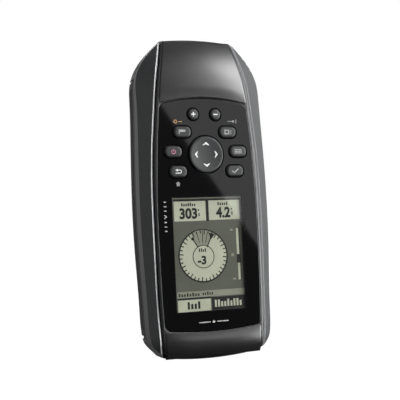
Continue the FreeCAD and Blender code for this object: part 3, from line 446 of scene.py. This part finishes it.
def display_picture():
    """Layered plates on the display. Their outlines are in mm about its middle."""
    centre = (SCREEN.x, SCREEN.z)
    face = PANEL_LOW.y
    base, second, third = face - LAYER, face - 2 * LAYER, face - 3 * LAYER
    thick = LAYER * 0.9
    args = {"thick": thick, "body": "housing", "centre": centre, "slot": "display"}
    plates("screen_top_line", [box_outline(-17.5, 17.6, 26.5, 27.0)], base, material=CELL_GREY, **args)
    plates("screen_dark_bands", [
        box_outline(-17.2, 17.4, 25.35, 26.2),
        box_outline(-0.75, 0.75, 15.6, 25.6),
        box_outline(0.2, 17.85, -26.95, -20.85),
        box_outline(-17.2, 0.2, -21.35, -20.55),
        box_outline(14.3, 16.4, -5.2, -1.0),
        box_outline(16.1, 16.5, -13.6, 12.0),
    ], base, material=CELL_DARK, **args)
    plates("screen_light_boxes", [
        box_outline(-17.0, -0.75, 15.85, 25.3),
        box_outline(0.8, 17.05, 16.0, 25.4),
        box_outline(-17.05, -0.35, -27.0, -21.4),
    ], base - LAYER / 2, material=CELL_LIGHT, **args)
    plates("screen_caption_strip", [box_outline(-17.3, 17.9, -20.4, -17.5)], base, material=CELL_GREY, **args)
    numeral("screen_heading_figures", "303", (-14.3, -5.2), (16.8, 22.1), third, material=CELL_DARK, **args)
    numeral("screen_speed_figures", "4.2", (4.5, 12.0), (16.9, 22.2), third, material=CELL_DARK, **args)
    numeral("screen_angle_figures", "-3", (-6.1, -1.7), (-5.1, -0.9), third - LAYER, material=CELL_DARK, **args)
    small = word_marks(-13.2, -5.6, 22.9, 24.5, 7, (1, 0, 0, 1))
    small += word_marks(5.5, 11.2, 23.0, 24.6, 5, (1, 0, 0, 0, 1))
    small += word_marks(-5.3, -1.2, 0.9, 2.6, 4, (1, 1, 0))
    small += [box_outline(-4.9, -4.2, 20.6, 21.4), box_outline(-4.6, -4.0, 18.0, 19.6)]
    small += [box_outline(12.3, 13.0, 20.7, 21.6), box_outline(12.6, 13.2, 18.2, 19.8)]
    plates("screen_small_marks", small, third - LAYER, material=CELL_SHADE, **args)
    caption = word_marks(-16.6, -5.5, -19.8, -18.2, 8, (1, 0, 0, 1, 0))
    caption += word_marks(-4.4, 1.4, -19.6, -18.0, 5, (0, 0, 1))
    plates("screen_caption_marks", caption, second, material=CELL_SHADE, **args)
    left_word = word_marks(-12.3, -5.2, -25.9, -22.4, 4, (1, 0, 0, 1))
    plates("screen_left_label", left_word, third, material=CELL_DARK, **args)
    right_word = word_marks(1.7, 16.3, -25.6, -22.2, 9, (1, 1, 0, 0, 1, 0))
    plates("screen_right_label", right_word, third, material=CELL_LIGHT, **args)
    display_dial(centre, base, args)
    scale_bars(centre, base, args)


def display_dial(centre, base, args):
    """The round gauge: a dark rim, a light disc with ticks round its edge, a hub and two needles."""
    cx, cz = -3.1, -0.95
    hub_x, hub_z, hub_r = -3.0, -1.35, 5.4
    plates("screen_dial_rim", [circle(cx, cz, 12.75, 96)], base, material=CELL_DARK, **args)
    plates("screen_dial_face", [circle(cx, cz, 12.0, 96)], base - LAYER, material=CELL_LIGHT, **args)
    wedge = [
        (-5.9, 3.2), (-9.0, 9.6), (-6.4, 11.0), (-3.1, 11.4), (0.2, 10.9), (2.2, 9.8), (-0.6, 3.4), (-3.1, 4.1),
    ]
    plates("screen_dial_wedge", [wedge], base - 1.5 * LAYER, material=CELL_GREY, **args)
    ticks = []
    for k in range(TICKS):
        angle = math.radians(360 / TICKS * (k + 0.5))
        from_r = TICK_INNER if k % 3 else LONG_TICK_INNER
        inner, outer = ((cx + r * math.sin(angle), cz + r * math.cos(angle)) for r in (from_r, TICK_OUTER))
        ticks.append(stroke(*inner, *outer, TICK_WIDE))
    ticks.append(stroke(cx, 5.2, cx, 11.2, 0.35))
    ticks.append(stroke(cx - 1.6, 5.2, cx - 2.7, 9.6, 0.3))
    ticks.append(stroke(cx + 1.5, 5.2, cx + 2.4, 9.4, 0.3))
    plates("screen_dial_ticks", ticks, base - 2 * LAYER, material=CELL_SHADE, **args)
    ring = (circle(hub_x, hub_z, hub_r + 0.2, 72), circle(hub_x, hub_z, hub_r - 0.2, 72))
    plates("screen_dial_hub_line", [], base - 3 * LAYER, material=CELL_SHADE, rings=[ring], **args)
    hub = [circle(hub_x, hub_z, hub_r - 0.15, 72)]
    plates("screen_dial_hub", hub, base - 2.5 * LAYER, material=CELL_LIGHT, **args)
    needles = [
        stroke(-8.0, 7.0, -5.6, 3.1, 0.55),
        stroke(1.3, 8.0, -0.9, 3.1, 0.55),
        circle(-8.2, 7.3, 0.8, 16),
        [(0.2, 9.9), (3.4, 9.2), (1.1, 6.6)],
    ]
    plates("screen_dial_needles", needles, base - 3.5 * LAYER, material=CELL_DARK, **args)


def scale_bars(centre, base, args):
    """The vertical scale at the right of the gauge with three small marks beside it."""
    bars = [box_outline(14.6, 15.75, -1.0, 11.6), box_outline(14.8, 15.95, -13.3, -5.2)]
    marks = [box_outline(11.5, 12.9, 10.5, 11.3), box_outline(11.6, 12.9, -1.9, -0.5)]
    marks.append(box_outline(11.9, 13.5, -13.2, -12.4))
    plates("screen_scale_bars", bars, base - LAYER, material=CELL_LIGHT, **args)
    plates("screen_scale_marks", marks, base - LAYER, material=CELL_GREY, **args)


# ---- the crowned skin over the antenna and under the display ------------------------------------------------------
BEND_TOP_Z, BEND_TOP_R = 124.0, 70.0    # the front is flat between these heights and bends back past them
BEND_BOTTOM_Z, BEND_BOTTOM_R = 10.0, 18.0
DOME_SIDE = ((121.7, 23.4), (134.0, 21.75), (142.5, 19.95), (153.1, 17.4))    # height, half-width
CHIN_SIDE = ((14.4, 25.4), (6.0, 24.85), (1.5, 24.35))
DOME_ARCH, CHIN_ARCH = 3.0, -1.8        # the edge beside the lens is this much higher in the middle
CROWN, CHIN_CROWN = 1.0, 0.6            # how much the middle swells forward
DOME_STEP, CHIN_STEP = 0.25, 0.18       # how proud of the bezel the swelling starts
DOME_RISE, CHIN_RISE = 6.0, 4.0         # height over which most of it grows
DOME_POWER, CHIN_POWER = 2.0, 3.0       # power of the curve across
NEAR_SHARE, FAR_SHARE, FAR_RISE = 0.73, 0.27, 2.3       # the rest of it grows over FAR_RISE times that height
SKIN_TUCK, SKIN_BACK = 0.02, 0.2        # depth of the skins' edges and of their backs in the bezel
SKIN_CELLS, STRIP_CELLS = 40, 60
STRIP_OUTER = (
    (121.8, 23.4), (120.2, 23.6), (103.0, 25.2), (79.0, 26.3), (50.0, 26.3), (18.0, 25.7), (14.5, 25.5),
)
STRIP_INNER = (
    (121.8, 22.6), (120.2, 22.75), (105.0, 24.15), (80.0, 25.45), (58.0, 25.75), (30.0, 25.35), (14.5, 24.8),
)
STRIP_TIP = 0.03                        # the strips beside the lens stand this far proud along the lens


def front_depth(z):
    """Depth of the bezel's front at height z, both in mm."""
    front = LENS_LOW.y / MM
    if z > BEND_TOP_Z:
        return front + BEND_TOP_R - math.sqrt(BEND_TOP_R**2 - (z - BEND_TOP_Z) ** 2)
    if z < BEND_BOTTOM_Z:
        return front + BEND_BOTTOM_R - math.sqrt(BEND_BOTTOM_R**2 - (z - BEND_BOTTOM_Z) ** 2)
    return front


def half_width(side, z):
    for (z0, w0), (z1, w1) in zip(side, side[1:]):
        if min(z0, z1) <= z <= max(z0, z1):
            return w0 + (w1 - w0) * (z - z0) / (z1 - z0)
    return side[-1][1]


def ease(share):
    """A smooth step from 0 to 1."""
    share = min(1.0, share)
    return share * share * (3 - 2 * share)


def crowned_skin(name, side, arch, crown, step, rise, power):
    """A thin closed skin on the bezel that swells towards its middle. Its edge beside the lens is an arch; the
    swelling starts with a step there and grows over rise mm of height. power is that of the curve across."""
    rows = columns = SKIN_CELLS
    end = side[-1][0]
    builder = bmesh.new()
    near, far = [], []
    for i in range(rows + 1):
        for line in (near, far):
            line.append([])
        for k in range(columns + 1):
            across = 2 * k / columns - 1
            start = side[0][0] + arch * (1 - across**2)
            z = start + (end - start) * i / rows
            run = abs(z - start)
            grown = NEAR_SHARE * ease(run / rise) + FAR_SHARE * ease(run / (FAR_RISE * rise))
            swell = (step + crown * grown) * (1 - abs(across) ** power)
            x = half_width(side, z) * across
            y = front_depth(z)
            near[i].append(builder.verts.new((x * MM, (y + SKIN_TUCK - swell) * MM, z * MM)))
            far[i].append(builder.verts.new((x * MM, (y + SKIN_BACK) * MM, z * MM)))
    for line in (near, far):
        for i in range(rows):
            for k in range(columns):
                builder.faces.new((line[i][k], line[i][k + 1], line[i + 1][k + 1], line[i + 1][k]))
    rim = [(0, k) for k in range(columns + 1)] + [(i, columns) for i in range(1, rows + 1)]
    rim += [(rows, k) for k in range(columns - 1, -1, -1)] + [(i, 0) for i in range(rows - 1, 0, -1)]
    for (i, k), (m, n) in zip(rim, rim[1:] + rim[:1]):
        builder.faces.new((near[i][k], near[m][n], far[m][n], far[i][k]))
    skin = new_piece(name, builder, FINISH["bezel_plastic"], "housing", "bezel_plastic")
    for face in skin.data.polygons:
        face.use_smooth = abs(face.normal.y) > 0.6


def tipped_strip(name, side):
    """A thin closed strip beside the lens that tips outward, as the crowned front does. side is -1 or 1."""
    start, end = STRIP_OUTER[0][0], STRIP_OUTER[-1][0]
    builder = bmesh.new()
    rings = []
    for i in range(STRIP_CELLS + 1):
        z = start + (end - start) * i / STRIP_CELLS
        inner, outer = half_width(STRIP_INNER, z), half_width(STRIP_OUTER, z)
        front = front_depth(z)
        back = front + SKIN_BACK
        corners = ((inner, front - STRIP_TIP), (outer, front + SKIN_TUCK), (outer, back), (inner, back))
        rings.append([builder.verts.new((side * x * MM, y * MM, z * MM)) for x, y in corners])
    for a, b in zip(rings, rings[1:]):
        for k in range(4):
            m = (k + 1) % 4
            builder.faces.new((a[k], a[m], b[m], b[k]))
    builder.faces.new(rings[0])
    builder.faces.new(rings[-1])
    new_piece(name, builder, FINISH["bezel_plastic"], "housing", "bezel_plastic")


# ---- printed legends ----------------------------------------------------------------------------------------------
IN_FRONT = -0.05                        # a depth well in front of the whole object, in metres


def surface_depth(node):
    """A function that gives the depth of a CAD node's front face at (x, z), in metres."""
    mesh = NODES[node].data
    tree = BVHTree.FromPolygons([v.co for v in mesh.vertices], [tuple(p.vertices) for p in mesh.polygons])

    def depth(x, z):
        hit = tree.ray_cast(Vector((x, IN_FRONT, z)), Vector((0, 1, 0)))[0]
        return hit.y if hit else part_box(node)[0].y
    return depth


def split_long_edges(outline, longest=0.4):
    """The same outline with no edge longer than longest, so that it can follow a curved face."""
    points = []
    for a, b in zip(outline, outline[1:] + outline[:1]):
        length = math.hypot(b[0] - a[0], b[1] - a[1])
        steps = max(1, math.ceil(length / longest))
        points += [(a[0] + (b[0] - a[0]) * k / steps, a[1] + (b[1] - a[1]) * k / steps) for k in range(steps)]
    return points


def print_on(node, box, name, outlines, material):
    """A legend on the crowned or hollow front of a CAD node. Its outlines are in mm about the middle of box, the
    node's own."""
    low, high = box
    centre = ((low.x + high.x) / 2, (low.z + high.z) / 2)
    depth = surface_depth(node)
    builder = bmesh.new()
    for outline in outlines:
        prism(builder, split_long_edges(outline), lambda x, z: depth(x, z) - PRINT,
              lambda x, z: depth(x, z) + PRINT_ROOT, centre)
    new_piece(name, builder, material, BODY_OF[node], "key_rubber")


def key_print(node, outlines, material):
    print_on(node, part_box(node), node + "_legend", outlines, material)


def key_legends():
    key_print("key_zoom_in", [box_outline(-1.1, 1.1, -0.28, 0.28), box_outline(-0.28, 0.28, 0.28, 1.1),
                              box_outline(-0.28, 0.28, -1.1, -0.28)], LEGEND)
    key_print("key_zoom_out", [box_outline(-1.1, 1.1, -0.28, 0.28)], LEGEND)
    cloth = [(-1.3, 1.1), (-1.3, -0.1), (1.9, 0.1), (1.0, 0.5), (1.9, 0.95)]
    flag = [box_outline(-1.9, -1.5, -1.1, 1.1), cloth]
    key_print("key_mark", flag, KEY_LEGEND)
    lines = [(-1.7, 0.9, 0.6, 0.9), (-1.7, -0.9, 0.6, -0.9), (-1.55, -0.7, -1.55, 0.7), (0.45, -0.7, 0.45, 0.7),
             (1.1, 0.5, 1.9, 0.5), (1.1, -0.5, 1.9, -0.5)]
    sheet = [stroke(*line, 0.35) for line in lines]
    key_print("key_page", sheet, KEY_LEGEND)
    key_print("key_menu", [box_outline(-1.9, 1.9, z - 0.18, z + 0.18) for z in (0.8, 0.0, -0.8)], KEY_LEGEND)
    tick = [stroke(-1.6, 0.1, -0.5, -0.9, 0.42), stroke(-0.5, -0.9, 1.7, 1.0, 0.42)]
    key_print("key_select", tick, KEY_LEGEND)
    power = [arc_band(0, -0.05, 0.95, 0.38, 35, 325), box_outline(-0.18, 0.18, 0.1, 1.25)]
    key_print("key_power", power, POWER_INK)
    back = [arc_band(0.75, 0.0, 0.72, 0.36, 0, 180), stroke(-0.6, 0.72, 0.75, 0.72, 0.36),
            stroke(-1.5, -0.72, 0.75, -0.72, 0.36), [(-1.6, 0.72), (-0.4, 1.4), (-0.4, 0.04)]]
    key_print("key_back", back, LEGEND)
    arrow_print()


def arrow_print():
    """Four arrowheads in the hollow of the rocker."""
    head = [(0, 6.0), (-1.75, 4.45), (-1.2, 4.4), (0, 4.95), (1.2, 4.4), (1.75, 4.45)]
    arrows = []
    for turn in range(4):
        c, s = math.cos(turn * math.pi / 2), math.sin(turn * math.pi / 2)
        arrows.append([(x * c - z * s, x * s + z * c) for x, z in head])
    print_on("rocker_pad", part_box("rocker_pad"), "rocker_arrows", arrows, LEGEND)


def lens_marks():
    """Small generic marks printed on the lens near some keys, beside the display and under it."""
    face = LENS_LOW.y - PRINT
    args = {"thick": PRINT, "body": "housing", "centre": (0.0, 0.0), "slot": "lens_glass"}
    buoy = (circle(-14.9, 113.1, 0.95, 24), circle(-14.9, 113.1, 0.5, 24))
    line = stroke(-13.4, 113.1, -11.6, 113.1, 0.5)
    plates("mark_buoy", [line], face, material=ORANGE_INK, rings=[buoy], **args)
    goto = [stroke(12.2, 113.4, 14.8, 113.4, 0.4), [(14.8, 114.2), (16.1, 113.4), (14.8, 112.6)],
            stroke(16.6, 112.5, 16.6, 114.3, 0.4)]
    plates("mark_go", goto, face, material=MARK_INK, **args)
    house = [[(-16.1, 83.5), (-14.9, 84.6), (-13.7, 83.5)], box_outline(-15.7, -14.1, 82.4, 83.5)]
    plates("mark_house", house, face, material=MARK_INK, **args)
    trim = [[(-0.9, 17.6), (0, 18.3), (0.9, 17.6), (0, 16.9)], stroke(-7.5, 17.6, -1.7, 17.6, 0.45),
            stroke(1.7, 17.6, 7.5, 17.6, 0.45)]
    plates("mark_trim", trim, face, material=KEY_LEGEND, **args)
    upright = [box_outline(-22.6, -21.4, z, z + 0.5) for z in (61.0, 63.1, 65.2, 70.5, 72.6, 74.7)]
    upright += [stroke(-22.6, 67.2, -21.4, 68.05, 0.4), stroke(-22.6, 68.9, -21.4, 68.05, 0.4)]
    plates("mark_upright", upright, face, material=KEY_LEGEND, **args)


# ---- stage, light and camera --------------------------------------------------------------------------------------
CAMERA_AT = Vector((-0.1586, -0.3948, 0.0550))
CAMERA_TURN = (92.867, 2.755, -21.945)  # in degrees
CAMERA_LENS = 77.7                      # focal length in mm, on a sensor 36 mm wide
MIDDLE = Vector((0, -0.01, 0.09))       # what the lamps point at
FLOOR_R, FLOOR_BELOW = 6.0, 0.02 * MM
WORLD_FRONT, WORLD_BACK, WORLD_BELOW = 0.12, 0.7, 0.3     # strength of its light in front, behind and below
CARD_SIZE, CARD_AWAY, CARD_RADIANCE = (1.1, 2.2), 1.2, 1.05
CARD_LINE = ((-22.5, 122.0), (17.7, 63.3))                # ends of its mirrored edge on the lens, in mm
LAMPS = (                               # name, azimuth, elevation and distance, width and height, radiance
    ("key_softbox", (51, 11, 1.3), (0.72, 1.55), 18.0),
    ("side_fill", (98, 8, 1.3), (0.5, 1.2), 1.2),
    ("left_strip", (-95, 12, 1.3), (0.45, 1.2), 0.8),
    ("left_fill", (-48, 5, 1.6), (0.8, 1.6), 0.45),
    ("top_softbox", (10, 80, 1.2), (0.9, 0.9), 0.6),
    ("back_softbox", (150, 22, 1.5), (1.0, 1.3), 5.0),
)


def make_stage():
    """A wide pale floor, seen by the camera alone."""
    builder = bmesh.new()
    bmesh.ops.create_circle(builder, cap_ends=True, segments=96, radius=FLOOR_R)
    mesh = bpy.data.meshes.new("floor")
    builder.to_mesh(mesh)
    builder.free()
    floor = bpy.data.objects.new("floor", mesh)
    floor.location.z = CAD_BOX[0].z - FLOOR_BELOW
    bpy.context.scene.collection.objects.link(floor)
    material = surface("floor_paper", linear(60, 60, 60), 0.9, grain=40, relief=0.0, mottle=0.02, blotch=400,
                       sheen=0.0)
    shader = material.node_tree.nodes["Principled BSDF"]
    shader.inputs["Emission Color"].default_value = (1, 1, 1, 1)
    shader.inputs["Emission Strength"].default_value = 1.0
    mesh.materials.append(material)
    floor.visible_glossy = False
    floor.visible_diffuse = False
    floor.visible_transmission = False


def make_world():
    """White for the camera; as a light it is brighter behind, and dim in front and below."""
    world = bpy.data.worlds.new("studio")
    bpy.context.scene.world = world
    world.use_nodes = True
    tree = world.node_tree
    nodes, links = tree.nodes, tree.links
    nodes.clear()
    direction = nodes.new("ShaderNodeTexCoord").outputs["Generated"]
    back = map_range(tree, axis_of(tree, direction, "Y"), (-0.1, 0.7), (WORLD_FRONT, WORLD_BACK))
    down = map_range(tree, axis_of(tree, direction, "Z"), (-0.35, 0.05), (WORLD_BELOW, 1.0))
    lit = nodes.new("ShaderNodeBackground")
    seen = nodes.new("ShaderNodeBackground")
    seen.inputs["Color"].default_value = (1, 1, 1, 1)
    seen.inputs["Strength"].default_value = 1.0
    path = nodes.new("ShaderNodeLightPath")
    pick = nodes.new("ShaderNodeMixShader")
    out = nodes.new("ShaderNodeOutputWorld")
    links.new(math_of(tree, "MULTIPLY", back, down), lit.inputs["Strength"])
    links.new(path.outputs["Is Camera Ray"], pick.inputs["Fac"])
    links.new(lit.outputs["Background"], pick.inputs[1])
    links.new(seen.outputs["Background"], pick.inputs[2])
    links.new(pick.outputs["Shader"], out.inputs["Surface"])


def softbox(name, at, size, radiance):
    """A rectangular lamp that points at the middle of the object. Its face has the given radiance."""
    lamp = bpy.data.lights.new(name, "AREA")
    lamp.shape = "RECTANGLE"
    lamp.size, lamp.size_y = size
    lamp.energy = radiance * size[0] * size[1] * math.pi
    thing = bpy.data.objects.new(name, lamp)
    thing.location = at
    thing.rotation_mode = "QUATERNION"
    thing.rotation_quaternion = (MIDDLE - Vector(at)).to_track_quat("-Z", "Y")
    thing.visible_camera = False
    bpy.context.scene.collection.objects.link(thing)
    return thing


def mirrored_in_lens(x, z, distance):
    """The point that the camera sees mirrored at (x, z) mm of the lens, on the plane y = -distance."""
    plane = LENS_LOW.y
    image = Vector((CAMERA_AT.x, 2 * plane - CAMERA_AT.y, CAMERA_AT.z))
    through = Vector((x * MM, plane, z * MM)) - image
    return image + through * ((-distance - image.y) / through.y)


def lens_card():
    """A dim lamp in front, facing along Y. Its slanted edge is mirrored as the diagonal line across the lens."""
    top, bottom = (mirrored_in_lens(*end, CARD_AWAY) for end in CARD_LINE)
    along = (top - bottom).normalized()
    outward = Vector((along.z, 0, -along.x))
    lamp = softbox("lens_card", (top + bottom) / 2 + outward * CARD_SIZE[0] / 2, CARD_SIZE, CARD_RADIANCE)
    lamp.rotation_mode = "XYZ"
    lamp.rotation_euler = Euler((math.radians(90), math.atan2(along.x, along.z), 0))


def seen_from_middle(azimuth, elevation, distance):
    """A point seen from the middle of the object: azimuth to the right of straight in front, in degrees."""
    turn, rise = math.radians(azimuth), math.radians(elevation)
    flat = math.cos(rise)
    return MIDDLE + Vector((math.sin(turn) * flat, -math.cos(turn) * flat, math.sin(rise))) * distance


def make_lights():
    lens_card()
    for name, place, size, radiance in LAMPS:
        softbox(name, seen_from_middle(*place), size, radiance)


def make_camera():
    data = bpy.data.cameras.new("camera")
    data.lens = CAMERA_LENS
    data.sensor_width = 36.0
    data.clip_start, data.clip_end = 0.01, 20.0
    camera = bpy.data.objects.new("camera", data)
    camera.location = CAMERA_AT
    camera.rotation_euler = Euler([math.radians(a) for a in CAMERA_TURN])
    bpy.context.scene.collection.objects.link(camera)
    bpy.context.scene.camera = camera
    bpy.context.scene.view_settings.view_transform = "Standard"


finish_nodes()
part_mask_from_lens()
crowned_skin("bezel_dome", DOME_SIDE, DOME_ARCH, CROWN, DOME_STEP, DOME_RISE, DOME_POWER)
crowned_skin("bezel_chin", CHIN_SIDE, CHIN_ARCH, CHIN_CROWN, CHIN_STEP, CHIN_RISE, CHIN_POWER)
tipped_strip("bezel_strip_left", -1)
tipped_strip("bezel_strip_right", 1)
display_picture()
key_legends()
lens_marks()
make_stage()
make_world()
make_lights()
make_camera()
